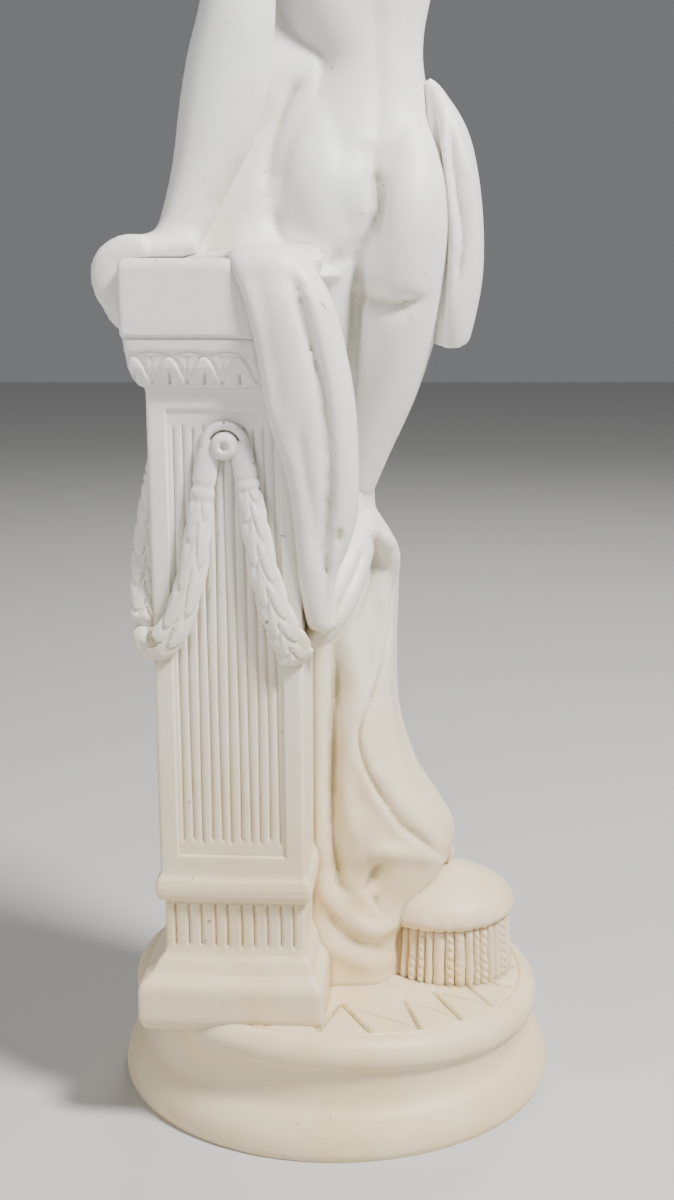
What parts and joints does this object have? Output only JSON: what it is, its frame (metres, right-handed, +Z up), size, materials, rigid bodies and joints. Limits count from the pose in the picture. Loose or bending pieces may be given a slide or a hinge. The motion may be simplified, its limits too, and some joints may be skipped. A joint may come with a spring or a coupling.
{
  "type": "classical marble statue",
  "caption": "Carved marble statuette: a half-draped classical figure leans on a garlanded fluted pillar, a foot on a tasselled stool, on a round moulded base.",
  "frame": {"origin": "middle of the round base's flat underside", "axes": "+Z up through the figure; -Y towards the pictured side, the figure's back; the figure faces +Y, so +X is the figure's right, the stool's side"},
  "size_m": [0.183, 0.183, 0.638],
  "materials": {
    "marble": "hand-polished white marble, warm ivory patina, dirt in the crevices"
  },
  "bodies": {
    "root": {"statue": "marble"}
  },
  "joints": []
}
